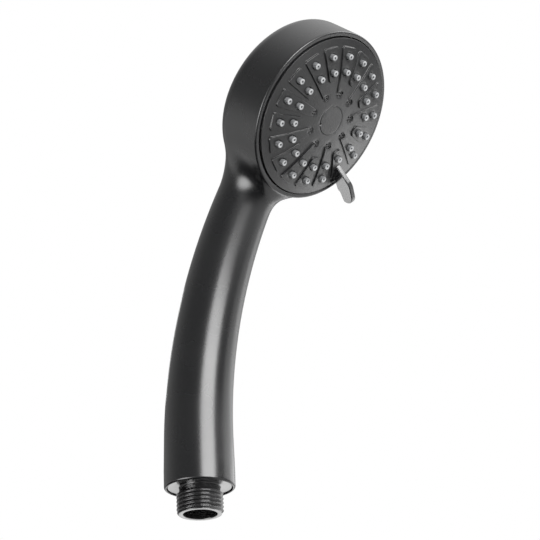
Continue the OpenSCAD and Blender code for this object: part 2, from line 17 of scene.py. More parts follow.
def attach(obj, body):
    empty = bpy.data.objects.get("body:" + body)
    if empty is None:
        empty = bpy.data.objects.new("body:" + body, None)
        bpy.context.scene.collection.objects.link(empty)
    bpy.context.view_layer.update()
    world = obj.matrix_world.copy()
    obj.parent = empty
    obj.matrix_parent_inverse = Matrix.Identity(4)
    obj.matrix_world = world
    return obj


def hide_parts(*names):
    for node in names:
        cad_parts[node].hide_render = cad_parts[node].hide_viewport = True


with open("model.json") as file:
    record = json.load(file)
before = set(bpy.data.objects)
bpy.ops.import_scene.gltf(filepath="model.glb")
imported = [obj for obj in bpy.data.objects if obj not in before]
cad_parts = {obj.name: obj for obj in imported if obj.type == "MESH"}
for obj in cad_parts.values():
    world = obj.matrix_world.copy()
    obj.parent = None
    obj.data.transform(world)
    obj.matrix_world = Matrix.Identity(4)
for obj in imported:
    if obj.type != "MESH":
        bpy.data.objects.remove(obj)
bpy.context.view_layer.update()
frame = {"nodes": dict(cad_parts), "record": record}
scene = bpy.context.scene
scene.view_settings.view_transform = "Standard"
MM = 0.001

# %% [markdown]
# ## Camera
# A long lens, low and to the left, looking up at the spray face. It comes first, so that every
# piece can be judged from it as soon as it is made. Its place and aim are plain numbers, because a
# tracking constraint would pull the view level, and this one leans by two degrees.

# %% Camera
eye = Vector((-0.7677, -0.5436, -0.2759))
look = Vector((0.7727, 0.5055, 0.3841)).normalized()
upwards = Vector((-0.302, -0.2395, 0.9227))
film_width, focal_length = 36, 146.66667

camera = bpy.data.objects.new("camera", bpy.data.cameras.new("camera"))
camera.data.lens = focal_length
camera.data.sensor_width = film_width
camera.location = eye
camera.rotation_euler = look.to_track_quat("-Z", "Y").to_euler()
scene.collection.objects.link(camera)
scene.camera = camera
# to_track_quat keeps the horizon level, so the small roll of the view is put back by hand
across = look.cross(upwards).normalized()
level = camera.rotation_euler.to_matrix() @ Vector((1, 0, 0))
roll = math.atan2(level.cross(across).dot(look), level.dot(across))
camera.rotation_euler = (look.to_track_quat("-Z", "Y").to_matrix() @
                         Matrix.Rotation(-roll, 3, "Z")).to_euler()
print("camera at", tuple(round(v, 3) for v in eye), "roll", round(math.degrees(roll), 2))

# %% [markdown]
# ## The head's own frame
# Everything on the spray face is drawn as if the face looked straight up: x across, y away from the
# handle, z out of the face, with z = 0 at the tips of the outer nozzles. One function then carries
# points from there to the real place.

# %% The head's frame
face_tilt = math.radians(38.5)
face_centre = np.array([0, -76.7, 170.5])
face_out = np.array([0, -math.cos(face_tilt), -math.sin(face_tilt)])
face_down = np.array([0, math.sin(face_tilt), -math.cos(face_tilt)])
head_axes = np.array([[1, 0, 0], -face_down, face_out])
head_r, rim_z = 40.4, -5.3          # outside of the head and level of its rim
dome_r, dome_rise = 132.0, 1.0      # curve of the face and height of its crown
bore_r, plate_r = 38.2, 37.7        # the bore in the head and the face plate that turns in it
lever_at = -34.4                    # direction of the lever, in degrees


def from_head(points):
    """Points of the head's own frame, carried to their place in the part."""
    return face_centre + np.asarray(points, float) @ head_axes


def dome(r):
    """Height of the domed face at radius r."""
    return dome_rise - dome_r + np.sqrt(dome_r ** 2 - np.asarray(r, float) ** 2)


print("the face looks towards", face_out.round(3))

# %% [markdown]
# ## Meshes from rings
# Most pieces here are rings of points joined by quads: a turned piece is a stack of circles, the
# body a stack of closed outlines. A Screw modifier could turn the round ones, but then the body
# would need a way of its own. So one helper joins any rings and closes both ends, another makes the
# object, and a third sets it on its body and hides the CAD nodes it stands for.

# %% Meshes from rings
def loft(rings):
    """Joins rings with as many points each, and closes both ends with a fan."""
    rings = np.asarray(rings, float)
    count, sides = rings.shape[:2]
    here = np.arange(sides)
    after = (here + 1) % sides
    base = np.arange(count - 1)[:, None] * sides
    quads = np.stack([base + here, base + after, base + sides + after, base + sides + here], -1)
    first, last = count * sides, count * sides + 1
    end = (count - 1) * sides
    points = np.concatenate([rings.reshape(-1, 3), rings[:1].mean(1), rings[-1:].mean(1)])
    faces = quads.reshape(-1, 4).tolist()
    faces += [[first, int(b), int(a)] for a, b in zip(here, after)]
    faces += [[end + int(a), end + int(b), last] for a, b in zip(here, after)]
    return points, faces


def around(count):
    """The angles of points spaced evenly round a circle."""
    return np.arange(count) * 2 * math.pi / count


def circle(r, z, sides):
    """A ring round the z axis."""
    a = around(sides)
    return np.stack([r * np.cos(a), r * np.sin(a), np.full(sides, float(z))], -1)


def turned(profile, sides):
    """A piece turned on a lathe: its profile is a list of radius and height, outside upwards."""
    return loft([circle(r, z, sides) for r, z in profile])


print("two rings of four points close to", len(turned([(1, 0), (1, 1)], 4)[1]), "faces")

# %% Pieces on the frame
def mesh_piece(name, points, faces, finish, crease):
    """A mesh object with its place in its mesh, smooth but for edges sharper than crease."""
    mesh = bpy.data.meshes.new(name)
    mesh.from_pydata((np.asarray(points, float) * MM).tolist(), [], faces)
    mesh.validate()
    mesh.shade_smooth()
    mesh.set_sharp_from_angle(angle=math.radians(crease))
    mesh.materials.append(finish)
    piece = bpy.data.objects.new(name, mesh)
    scene.collection.objects.link(piece)
    return piece


def fit(piece, body, slot, *stands_for):
    """Lets a piece ride on a body and hides the CAD nodes it stands for. The slot is not used."""
    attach(piece, body)
    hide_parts(*stands_for)
    print(piece.name, len(piece.data.polygons), "faces, rides on", body)


# %% [markdown]
# ## Node trees as expressions
# A finish or a Geometry Nodes tree reads best as arithmetic, and one node after another, linked by
# hand, soon hides the sum. Flow wraps one socket: the operators add Math nodes, and node() adds any
# other node, with its settings first and its inputs after. Colours and directions have nodes of
# their own, so mix() and dot() are here too.

# %% Flow
class Flow:
    """One socket of a node tree, used in expressions."""

    def __init__(self, tree, socket=None):
        self.tree, self.socket = tree, socket

    def node(self, kind, settings=None, inputs=None, take=0):
        """Adds a node and takes one of its outputs."""
        made = self.tree.nodes.new(kind)
        for key, value in (settings or {}).items():
            setattr(made, key, value)
        for key, value in (inputs or {}).items():
            self.feed(self.pick(made.inputs, key), value)
        return Flow(self.tree, self.pick(made.outputs, take))

    @staticmethod
    def pick(sockets, key):
        """A socket by its number, its identifier or its name."""
        if isinstance(key, int):
            return sockets[key]
        named = [s for s in sockets if s.identifier == key] or [s for s in sockets if s.name == key]
        return named[0]

    def feed(self, target, value):
        """Links a socket, or sets it when the value is plain."""
        if isinstance(value, Flow):
            self.tree.links.new(value.socket, target)
        else:
            target.default_value = value

    def out(self, key):
        """Another output of the same node."""
        return Flow(self.tree, self.pick(self.socket.node.outputs, key))

    def math(self, operation, *values):
        return self.node("ShaderNodeMath", {"operation": operation}, dict(enumerate(values)))

    def __add__(self, other): return self.math("ADD", self, other)
    def __radd__(self, other): return self.math("ADD", other, self)
    def __sub__(self, other): return self.math("SUBTRACT", self, other)
    def __rsub__(self, other): return self.math("SUBTRACT", other, self)
    def __mul__(self, other): return self.math("MULTIPLY", self, other)
    def __rmul__(self, other): return self.math("MULTIPLY", other, self)
    def __truediv__(self, other): return self.math("DIVIDE", self, other)

    def clamp(self, low=0.0, high=1.0):
        """This value, kept between two others."""
        return self.math("MINIMUM", self.math("MAXIMUM", self, low), high)

    def dot(self, way):
        """How far this vector points in a direction."""
        return self.node("ShaderNodeVectorMath", {"operation": "DOT_PRODUCT"},
                         {0: self, 1: tuple(way)}, "Value")

    def mix(self, start, end):
        """A colour that goes from start to end while this socket goes from 0 to 1."""
        return self.node("ShaderNodeMix", {"data_type": "RGBA"},
                         {"Factor_Float": self, "A_Color": start, "B_Color": end}, "Result_Color")


print("Flow can add, subtract, multiply, divide, clamp, dot and mix")

# %% [markdown]
# ## Finishes
# Every finish has its grain: a satin moulding has a fine orange peel, silicone is mottled, steel
# has faint marks. The flat tips of the nozzles are painted paler, a painted highlight where they
# face the light. An image would have to be unwrapped onto each piece, so noise in the piece's own
# coordinates makes them all. The colour and the roughness vary a little over the surface, and the
# grain goes into a Bump node. What is the same all over, such as the index of refraction, is set on
# the shader itself.
# The moulded blacks have a high index, because it is their shine that shows. The inner pieces keep
# their CAD shape and only get their finish.

# %% Finish maker
drift_scale, drift_in_roughness = 45.0, 0.06


def finish(name, colour, roughness, grain, depth, vary=0.15, metallic=0.0, ior=1.5, patch=None):
    """A procedural finish: fine grain in the bump, slow drift in colour and roughness.

    A patch is a second colour, and the function that says where it goes."""
    made = bpy.data.materials.new(name)
    made.use_nodes = True
    shader = made.node_tree.nodes["Principled BSDF"]
    shader.inputs["Metallic"].default_value = metallic
    shader.inputs["IOR"].default_value = ior
    flow = Flow(made.node_tree)
    place = flow.node("ShaderNodeTexCoord", take="Object")
    drift = flow.node("ShaderNodeTexNoise", {},
                      {"Vector": place, "Scale": drift_scale, "Detail": 3.0})
    fine = flow.node("ShaderNodeTexNoise", {}, {"Vector": place, "Scale": grain, "Detail": 2.0})
    dark = [c * (1 - vary) for c in colour] + [1]
    pale = [min(1, c * (1 + vary)) for c in colour] + [1]
    tint = drift.mix(dark, pale)
    if patch:
        second, where = patch
        tint = where(place).mix(tint, (*second, 1))
    rough = (roughness + (drift - 0.5) * drift_in_roughness * 2).clamp(0.02, 1)
    bump = flow.node("ShaderNodeBump", {},
                     {"Strength": 1.0, "Distance": depth * MM, "Height": fine})
    flow.feed(shader.inputs["Base Color"], tint)
    flow.feed(shader.inputs["Roughness"], rough)
    flow.feed(shader.inputs["Normal"], bump)
    return made


print("colour and roughness drift over about", round(1 / (drift_scale * MM)), "mm")

# %% Finishes
# The flat tips of the nozzles are painted paler: a painted highlight where they face the light.
tip_highlight_from, tip_highlight_fade = 2.2, 0.2     # height over the dome where the paler tips start


def painted_tip_highlight(place):
    """Where the nozzles' painted tip highlight goes: 1 on their flat tips and 0 lower down, from
    the height above the dome.
    """
    from_face = place.node("ShaderNodeVectorMath", {"operation": "SUBTRACT"},
                           {0: place, 1: tuple(face_centre * MM)}, "Vector")
    length = place.node("ShaderNodeVectorMath", {"operation": "LENGTH"}, {0: from_face}, "Value")
    out, away = from_face.dot(face_out) / MM, length / MM
    rise = out - dome_rise + (away * away - out * out) / (2 * dome_r)
    return ((rise - tip_highlight_from) / tip_highlight_fade).clamp()


finishes = {
    "body_black": finish("satin_black_shell", (0.0065, 0.0067, 0.0072), 0.27, 1500, 0.004,
                         ior=1.6),
    "face_black": finish("grained_face", (0.006, 0.0062, 0.0066), 0.34, 1300, 0.12, ior=1.7),
    "gloss_black": finish("gloss_black_plug", (0.012, 0.012, 0.0125), 0.22, 2200, 0.006, ior=1.9),
    "lever_black": finish("gloss_black_lever", (0.02, 0.02, 0.021), 0.2, 1800, 0.002, ior=1.8),
    "jet_black": finish("jet_insert_black", (0.006, 0.006, 0.0065), 0.3, 1800, 0.004, ior=1.8),
    # The silicone's tips get a paler colour, which is a painted highlight.
    "silicone_grey": finish("soft_grey_silicone", (0.15, 0.153, 0.157), 0.55, 1400, 0.01,
                            patch=((0.33, 0.335, 0.34), painted_tip_highlight)),
    "seal_black": finish("seal_rubber", (0.015, 0.015, 0.015), 0.6, 1800, 0.01),
    "inner_white": finish("natural_acetal", (0.68, 0.68, 0.66), 0.45, 900, 0.01, vary=0.04),
    "inner_grey": finish("inner_grey_plastic", (0.09, 0.095, 0.10), 0.4, 1200, 0.01),
    "limiter_blue": finish("limiter_blue_plastic", (0.11, 0.20, 0.26), 0.4, 1200, 0.01),
    "steel": finish("bright_steel", (0.55, 0.55, 0.56), 0.25, 900, 0.003, vary=0.06,
                    metallic=1.0),
}
for node, piece in frame["nodes"].items():
    slot = next(p["material_slot"] for p in frame["record"]["subparts"] if p["node"] == node)
    for holder in piece.material_slots:
        holder.material = finishes[slot]
print(len(finishes), "finishes,", len(frame["nodes"]), "CAD nodes dressed")

# %% [markdown]
# ## The moulded body
# The real body is one black moulding whose round handle melts into the round head. Two distance
# fields describe it: one for the bent, slightly tapered handle, one for the head, a drum with a
# rounded back edge and a leaning flat back. A smooth minimum joins them. Outlines are then found by
# following rays from inside to the skin, first square to the handle, then fanning out in front of
# the neck until the last one lies on the rim. That gives clean rings that follow the form, where a
# voxel remesh would lose the crisp rim.

# %% The fields of handle and head
grip_r, grip_taper, taper_from = 15.95, 0.0215, 8
bend_start, bend_r = 33.5, 227.5
handle_end = math.radians(42.4)
lip_z, lip_r = 11.0, 1
# Inside the head the handle slims, so that it doesn't swell the skin there: angles and depth
waist_from, waist_over, waist_depth = 30.1, 10.3, 5
back_z, back_lean, back_round = -30.3, math.radians(3.3), 6.0
# The blend of the neck, and how far behind the rim it reaches its full width
neck_blend, blend_from, blend_over = 12.0, 0.5, 3


def ease(x):
    """A soft step from 0 to 1."""
    x = np.clip(x, 0, 1)
    return x * x * (3 - 2 * x)


def handle_field(p):
    """Signed distance to the handle, which ends inside the head."""
    t = np.clip(np.arctan2(p[..., 2] - bend_start, p[..., 1] + bend_r), 0, handle_end)
    straight = p[..., 2] < bend_start
    y = np.where(straight, 0, -bend_r * (1 - np.cos(t)))
    z = np.where(straight, np.maximum(p[..., 2], lip_z), bend_start + bend_r * np.sin(t))
    run = np.where(straight, p[..., 2], bend_start + bend_r * t)
    taper = grip_taper * np.maximum(0, run - lip_z - taper_from)
    r = grip_r - taper - waist_depth * ease((np.degrees(t) - waist_from) / waist_over)
    lip = np.maximum(0, lip_r - (run - lip_z))
    rounding = lip_r - np.sqrt(np.maximum(0, lip_r * lip_r - lip * lip))
    r = r - np.where(run < lip_z + lip_r, rounding, 0)
    return np.sqrt(p[..., 0] ** 2 + (p[..., 1] - y) ** 2 + (p[..., 2] - z) ** 2) - r


def head_field(p):
    """Signed distance to the head: a drum with a rounded back edge."""
    q = p - face_centre
    h, v = q @ face_out, q @ face_down
    side = np.hypot(q[..., 0], v) - head_r + back_round
    back = -(h - back_z) * math.cos(back_lean) - v * math.sin(back_lean) + back_round
    inner = np.minimum(np.maximum(side, back), 0)
    return inner + np.hypot(np.maximum(side, 0), np.maximum(back, 0)) - back_round


def body_field(p):
    """Both, melted together, but not at the rim, which stays round."""
    a, b = handle_field(p), head_field(p)
    behind = rim_z - (p - face_centre) @ face_out
    k = np.maximum(0.01, neck_blend * ease((behind + blend_from) / blend_over))
    m = np.clip(0.5 + 0.5 * (b - a) / k, 0, 1)
    return b * (1 - m) + a * m - k * m * (1 - m)


print("from the face's centre to the skin:", round(float(-body_field(face_centre)), 1), "mm")

# %% Rings of the skin
body_sides, ray_length, halvings = 168, 60.0, 26
lip_turns, straight_levels = np.radians(np.arange(0, 91, 11.25)), np.arange(13, 33, 2)
bend_rings, back_rings, front_rings = 48, 50, 100
rim_edge = 0.8
# The fan turns about a pivot past the head's edge, and its rays spread to fill the wide head
fan_beyond, fan_spread = 6.7, 0.35


def bend_point(t):
    """A point of the handle's bent centre line."""
    return np.array([0, -bend_r * (1 - math.cos(t)), bend_start + bend_r * math.sin(t)])


def skin_ring(centre, across, stretch=1.0):
    """Follows rays from a centre to the skin, by halving."""
    a = around(body_sides)
    rays = np.outer(stretch * np.cos(a), [1, 0, 0]) + np.outer(np.sin(a), across)
    rays /= np.linalg.norm(rays, axis=1)[:, None]
    low, high = np.zeros(body_sides), np.full(body_sides, ray_length)
    for _ in range(halvings):
        middle = (low + high) / 2
        inside = body_field(centre + rays * middle[:, None]) < 0
        low, high = np.where(inside, middle, low), np.where(inside, high, middle)
    return centre + rays * low[:, None]


pivot_down = head_r + fan_beyond
pivot = face_centre + face_down * pivot_down + face_out * (rim_z - rim_edge)
pivot_at = math.atan2(pivot[2] - bend_start, pivot[1] + bend_r)
pivot_gap = np.linalg.norm(pivot - bend_point(pivot_at))

square = np.array([0, 1.0, 0])
skin = [skin_ring(np.array([0, 0, lip_z + lip_r - math.cos(b)]), square) for b in lip_turns]
skin += [skin_ring(np.array([0, 0, float(z)]), square) for z in straight_levels]
for t in np.linspace(0, pivot_at, bend_rings)[:-1]:
    skin.append(skin_ring(bend_point(t), np.array([0, math.cos(t), math.sin(t)])))
for f in [*np.linspace(0, 0.5, back_rings)[:-1], *np.linspace(0.5, 1, front_rings)]:
    a = pivot_at + (math.pi / 2 + face_tilt - pivot_at) * f
    ray = np.array([0, math.cos(a), math.sin(a)])
    middle = pivot + ray * (pivot_gap + (pivot_down - pivot_gap) * float(ease(f)))
    skin.append(skin_ring(middle, ray, 1 + fan_spread * math.sin(math.pi * f)))
print(len(skin), "rings round the body")

# %% [markdown]
# The same rings run on round the rim, down the bore that the spray face turns in and, at the other
# end, round the lip into the socket of the hose connector. So the body is one closed shell with
# real openings, and its edges are small radii that catch the light.

# %% Rim, bore, lip and socket
bore_edge, socket_edge = 0.2, 0.25


def arc(x, y, r, start, stop, steps=5):
    """Profile points on a small radius, angles in degrees."""
    turns = np.radians(np.linspace(start, stop, steps))
    return [(x + r * math.cos(b), y + r * math.sin(b)) for b in turns]


# From the rim down the bore, past the ledge for the valve seat, to the waterway
front = arc(head_r - rim_edge, rim_z - rim_edge, rim_edge, 0, 90, 9)[1:]
front += arc(bore_r + bore_edge, rim_z - bore_edge, bore_edge, 90, 180)
front += [(bore_r, -10), (bore_r, -15.9), (31.5, -16), (31.5, -23.9), (28, -24), (4, -24)]
# From the waterway down the steps of the connector's socket to the lip
socket = [(10.5, 60), (10.5, 37), (10.5, 29.35), (11.55, 29.3), (11.55, 14.85), (14.75, 14.8)]
socket += arc(15.0, lip_z + socket_edge, socket_edge, 180, 270)[:-1]
rings = [circle(r, z, body_sides) for r, z in socket] + skin
rings += [from_head(circle(r, z, body_sides)) for r, z in front]
body = mesh_piece("moulded_body", *loft(rings), finishes["body_black"], 30)
fit(body, "handset", "body_black", "body")

# %% [markdown]
# ## The spray face
# The face plate is a dome with eighteen raised wedges, and holes for nozzles and jets. It is drawn
# flat first, as a designer would draw it: outlines of the pads, a few offset lines inside each for
# the rounded shoulder, and circles for the holes. A constrained triangulation fills the drawing,
# and every point is then lifted to the dome, plus the pad's height, which depends only on the
# distance from the pad's outline. So all edges get an even radius without a bevel that could fail.
# Beside the lever the face has a shallow hollow, which is drawn and sunk in the same way.

# %% Tools for outlines
def wedge(near_r, far_r, half, near_round, far_round):
    """A wedge between two radii with round corners, anticlockwise, along +x."""
    def corner(r, c, side, start):
        """A corner of radius c, with its middle at radius r on one side of the wedge."""
        a = side * (math.radians(half) - c / r)
        x, y = r * math.cos(a), r * math.sin(a)
        turns = np.radians(np.linspace(start, start + 90, 7))
        return [(x + c * math.cos(a + side * b), y + c * math.sin(a + side * b)) for b in turns]
    far = corner(far_r - far_round, far_round, -1, 0)[::-1]
    far += corner(far_r - far_round, far_round, 1, 0)
    near = corner(near_r + near_round, near_round, 1, 90)
    near += corner(near_r + near_round, near_round, -1, 90)[::-1]
    return np.array(far + near)


def spaced(loop, step):
    """The same closed line with no gap between points over a step."""
    out = []
    for p, q in zip(loop, np.roll(loop, -1, 0)):
        n = max(1, int(np.ceil(np.linalg.norm(q - p) / step)))
        out += [p + (q - p) * i / n for i in range(n)]
    return np.array(out)


def inset(loop, d):
    """The closed line moved inwards by d."""
    before, after = loop - np.roll(loop, 1, 0), np.roll(loop, -1, 0) - loop
    left = [np.stack([-e[:, 1], e[:, 0]], -1) / np.linalg.norm(e, axis=1)[:, None]
            for e in (before, after)]
    middle = left[0] + left[1]
    return loop + d * middle * (2 / (middle ** 2).sum(1))[:, None]


def rotated(points, degrees):
    """Flat points turned anticlockwise round the middle of the face."""
    a = math.radians(degrees)
    return points @ np.array([[math.cos(a), math.sin(a)], [-math.sin(a), math.cos(a)]])


print("a wedge has", len(wedge(10, 30, 7.5, 1, 1)), "points")

# %% Tools for drawings
slack = 0.02            # a point this near a line of a drawing counts as on it
inside_only = 1         # tells the triangulation to fill what the lines enclose and no more


def ring_flat(centre, r, n):
    """A flat circle of n points."""
    a = around(n)
    return np.stack([centre[0] + r * np.cos(a), centre[1] + r * np.sin(a)], -1)


def drawing(loops):
    """The points of all outlines, and the lines that join them."""
    flat, lines = [], []
    for loop in loops:
        start = len(flat)
        flat += [Vector(p) for p in loop]
        lines += [(start + i, start + (i + 1) % len(loop)) for i in range(len(loop))]
    return flat, lines


def filled(flat, lines, nearness):
    """A drawing as triangles: its points, and the three of each triangle."""
    points, _, triangles, *_ = delaunay_2d_cdt(flat, lines, [], inside_only, nearness)
    return np.array([tuple(p) for p in points]), triangles


def open_edges(triangles):
    """Edges with a triangle on one side only, in the direction of that triangle."""
    edges = {(t[i], t[(i + 1) % 3]) for t in triangles for i in range(3)}
    return [(a, b) for a, b in edges if (b, a) not in edges]


print("a sheet of one triangle has", len(open_edges([(0, 1, 2)])), "open edges")

# %% Pads and holes in the flat
columns, column_step, pad_h = 18, 20, 0.75
long_from, short_from, pad_to, pad_half = 11.1, 18.35, 34.3, 7.5
long_round, short_round, far_round = 1.2, 2.0, 1.3      # a pad's corners, inner and outer ones
outer_ring_r, inner_ring_r, jet_ring_r = 30.1, 23.05, 12.6
nozzle_hole_r, jet_hole_r, cap_hole_r = 1.8, 1.72, 6.97
outline_step = 1.0
column_at = [lever_at + column_step * k for k in range(columns)]
nozzle_places = [(inner_ring_r, a) for a in column_at] + [(outer_ring_r, a) for a in column_at[1:]]
jet_places = [(jet_ring_r, a) for a in column_at[1::2]]


def centres(places):
    """Flat points from radii and angles."""
    return [np.array([r * math.cos(math.radians(a)), r * math.sin(math.radians(a))])
            for r, a in places]


holes = [(c, nozzle_hole_r) for c in centres(nozzle_places)]
holes += [(c, jet_hole_r) for c in centres(jet_places)]
pads = []
for k, at in enumerate(column_at):
    near_r, near_round = (long_from, long_round) if k % 2 else (short_from, short_round)
    pad = wedge(near_r, pad_to, pad_half, near_round, far_round)
    pads.append(rotated(spaced(pad, outline_step), at))
# The hollow's outline, as seen along the lever: distance from the middle, and to one side
hollow = np.array([(27.6, -1.1), (26.9, -1.6), (27.2, -2.4), (35.6, -4.6), (36.4, -4.3),
                   (36.6, -1.1)])
hollow = rotated(spaced(hollow, outline_step), lever_at)[::-1]
print(len(pads), "pads,", len(nozzle_places), "nozzles,", len(jet_places), "jets")

# %% Height over the flat drawing
# A pad's rounded shoulder: distance inside its outline, and the height reached there
shoulder = ((-0.08, 0.0), (0.0, 0.08), (0.04, 0.56), (0.09, 0.69), (0.17, pad_h))
hollow_depth, hollow_wall = 1.2, 0.15
# The rounded edge of a hole: distance outside it, and how far the face drops there
round_at, round_drop = (0, 0.05, 0.18), (0.12, 0.05, 0)
pad_reach, far_outside = 16, -9.0


def depth_inside(outlines, points):
    """How far inside the nearest outline each point lies, negative outside."""
    best = np.full(len(points), far_outside)
    for loop in outlines:
        p, q = loop, np.roll(loop, -1, 0)
        near = np.flatnonzero(np.linalg.norm(points - loop.mean(0), axis=1) < pad_reach)
        w = points[near][:, None]
        e = q - p
        t = np.clip(((w - p) * e).sum(-1) / (e ** 2).sum(-1), 0, 1)
        away = np.linalg.norm(w - p - t[..., None] * e, axis=-1).min(1)
        crossing = (p[:, 1] > w[..., 1]) != (q[:, 1] > w[..., 1])
        cut = p[:, 0] + (w[..., 1] - p[:, 1]) * e[:, 0] / np.where(e[:, 1] == 0, 1e-9, e[:, 1])
        inside = (crossing & (w[..., 0] < cut)).sum(1) % 2 == 1
        best[near] = np.maximum(best[near], np.where(inside, away, -away))
    return best


def face_height(points):
    """Height of the finished face: dome, pads, hollow, and a small radius round each hole."""
    bare = dome(np.linalg.norm(points, axis=1))
    z = bare + np.interp(depth_inside(pads, points), *zip(*shoulder))
    sunk = np.interp(depth_inside([hollow], points), (0, hollow_wall), (0, 1))
    z = z * (1 - sunk) + (bare - hollow_depth) * sunk
    for centre, r in holes + [(np.zeros(2), cap_hole_r)]:
        gap = np.linalg.norm(points - centre, axis=1) - r
        z = z - np.interp(gap, round_at, round_drop)
    return z


sample = np.array(centres([(26.5, column_at[5] + 10), (26.5, column_at[5])]))
print("height between two pads and on one, mm:", face_height(sample).round(2))

# %% Fill the drawing
plate_edge = 0.12
top_r = plate_r - plate_edge
edge_band, cap_round_at = 1.2, (0, 0.06, 0.18)
# Loose points fill the rest, in rows, at a distance from the edge and (squared) from any line
row_gap, point_gap, grid_to, clear_of_edge, clear_of_lines = 1.04, 1.2, 36, 1.8, 0.3

loops = [ring_flat((0, 0), top_r, 240), ring_flat((0, 0), top_r - edge_band, 200)]
loops += [inset(loop, d) for loop in pads for d, _ in shoulder]
loops += [hollow, inset(hollow, hollow_wall)]
for centre, r in holes:
    loops += [ring_flat(centre, r + gap, 24) for gap in round_at]
loops += [ring_flat((0, 0), cap_hole_r + gap, 96) for gap in cap_round_at]
flat, lines = drawing(loops)

grid = np.array([(x + (row % 2) * point_gap / 2, y)
                 for row, y in enumerate(np.arange(-grid_to, grid_to + 0.1, row_gap))
                 for x in np.arange(-grid_to, grid_to + 0.1, point_gap)])
grid = grid[np.linalg.norm(grid, axis=1) < top_r - clear_of_edge]
on_lines = np.array([tuple(p) for p in flat])
flat += [Vector(g) for g in grid if ((on_lines - g) ** 2).sum(1).min() > clear_of_lines]

verts, tris = filled(flat, lines, 1e-5)
middles = np.array([verts[list(t)].mean(0) for t in tris])
in_hole = np.linalg.norm(middles, axis=1) < cap_hole_r
for centre, r in holes:
    in_hole |= np.linalg.norm(middles - centre, axis=1) < r * 0.99
tris = [t for t, cut in zip(tris, in_hole) if not cut]
print("the drawing has", len(verts), "points and", len(tris), "triangles")

# %% [markdown]
# The filled drawing becomes the top of the plate. A copy pushed down by the plate's thickness is
# its underside, and each open edge gets a wall: straight through the holes, a recess round the cap,
# and at the outside a small radius and the turned-down skirt.

# %% The face plate
plate_t = 2.0
skirt_r, skirt_z = 35.2, -11.3      # inside and foot of the skirt
skirt_from, skirt_pull = 34.5, 0.35     # the underside draws in here to meet the skirt's inside
recess_r, recess_z = 5.2, dome_rise - 1.2


def plate_mesh():
    """The filled drawing, lifted to the dome, with its underside and all its walls."""
    radius = np.linalg.norm(verts, axis=1)
    top = np.column_stack([verts, face_height(verts)])
    pull = (skirt_from + (radius - skirt_from) * skirt_pull) / np.maximum(radius, 1)
    under_flat = verts * np.where(radius > skirt_from, pull, 1)[:, None]
    under = np.column_stack([under_flat, dome(np.linalg.norm(under_flat, axis=1)) - plate_t])
    points = [*top, *under]
    n = len(verts)
    faces = [list(t) for t in tris] + [[c + n, b + n, a + n] for a, b, c in tris]
    skirt = arc(top_r, float(dome(top_r)) - plate_edge, plate_edge, 72, 0)
    skirt += [(plate_r, -9.0), (plate_r, skirt_z), (skirt_r, skirt_z)]
    recess = [(cap_hole_r, recess_z), (recess_r, recess_z), (recess_r, -1.1)]
    paths = {}

    def path(i):
        """The points that a wall follows from a point of the top to the one under it."""
        if i not in paths:
            at_skirt, at_cap = radius[i] > top_r - slack, radius[i] < cap_hole_r + slack
            steps = skirt if at_skirt else recess if at_cap else []
            out = verts[i] / radius[i]
            paths[i] = [i] + list(range(len(points), len(points) + len(steps))) + [i + n]
            points.extend([out[0] * r, out[1] * r, z] for r, z in steps)
        return paths[i]

    for a, b in open_edges(tris):
        pa, pb = path(a), path(b)
        faces.extend([pa[j], pa[j + 1], pb[j + 1], pb[j]] for j in range(len(pa) - 1))
    return from_head(points), faces


plate = mesh_piece("spray_face_plate", *plate_mesh(), finishes["face_black"], 30)
fit(plate, "spray_head", "face_black", "spray_plate")

# %% [markdown]
# ## Nozzles
# Thirty-five soft nozzles stand in two rings, and the lever takes the place of one. They could be
# copied in a loop, but they repeat by a rule, so Geometry Nodes place them: a circle of points for
# each ring, lifted to the dome, with one modelled nozzle on every point. The tree has named sizes,
# so the rings can be widened without touching it.

# %% One nozzle
tip, tip_round, water_r = 2.45, 0.18, 0.5
nozzle_sides = 32
ribs, rib_h, ribs_from, ribs_to = 8, 0.05, -1.0, 2.0


def fluted(profile):
    """A turned piece with shallow ribs between two heights."""
    a = around(nozzle_sides)
    rings = []
    for r, z in profile:
        ring = circle(r, z, nozzle_sides)
        swell = 1 + (rib_h / max(r, 0.3)) * np.cos(ribs * a) * (ribs_from < z < ribs_to)
        ring[:, :2] *= swell[:, None]
        rings.append(ring)
    return loft(rings)


nozzle_profile = [(1.42, -2.6), (1.45, -1.9), (1.45, -0.6), (1.44, 0.3), (1.42, 1.2), (1.4, 1.9)]
nozzle_profile += [(1.38, 2.1)] + arc(1.2, tip - tip_round, tip_round, 0, 90, 4)
nozzle_profile += [(0.85, tip), (0.62, tip - 0.02), (0.54, tip - 0.1)]
nozzle_profile += [(water_r, tip - 0.25), (water_r, tip - 1.8)]
nozzle_model = mesh_piece("nozzle_model", *fluted(nozzle_profile), finishes["silicone_grey"], 40)
print("one nozzle:", len(nozzle_model.data.polygons), "faces")

# %% [markdown]
# A Geometry Nodes tree needs three things each time: named inputs, an end that realizes the copies
# and gives them their finish, and a run that turns the result into plain points and faces. These
# helpers do that for the rings and, later, for the thread.

# %% Tools for trees
def new_tree(name, wanted):
    """A tree with named inputs, and the identifier of each. wanted: label, kind and value."""
    tree = bpy.data.node_groups.new(name, "GeometryNodeTree")
    sockets = {}
    for label, kind, value in wanted:
        made = tree.interface.new_socket(label, in_out="INPUT", socket_type="NodeSocket" + kind)
        if value is not None:
            made.default_value = value
        sockets[label] = made.identifier
    tree.interface.new_socket("Geometry", in_out="OUTPUT", socket_type="NodeSocketGeometry")
    return tree, sockets


def end_tree(shape, material):
    """Makes what a tree placed real, gives it its finish, and sends it out."""
    real = shape.node("GeometryNodeRealizeInstances", {}, {"Geometry": shape})
    done = real.node("GeometryNodeSetMaterial", {}, {"Geometry": real, "Material": material})
    end = shape.tree.nodes.new("NodeGroupOutput")
    shape.tree.links.new(done.socket, end.inputs[0])


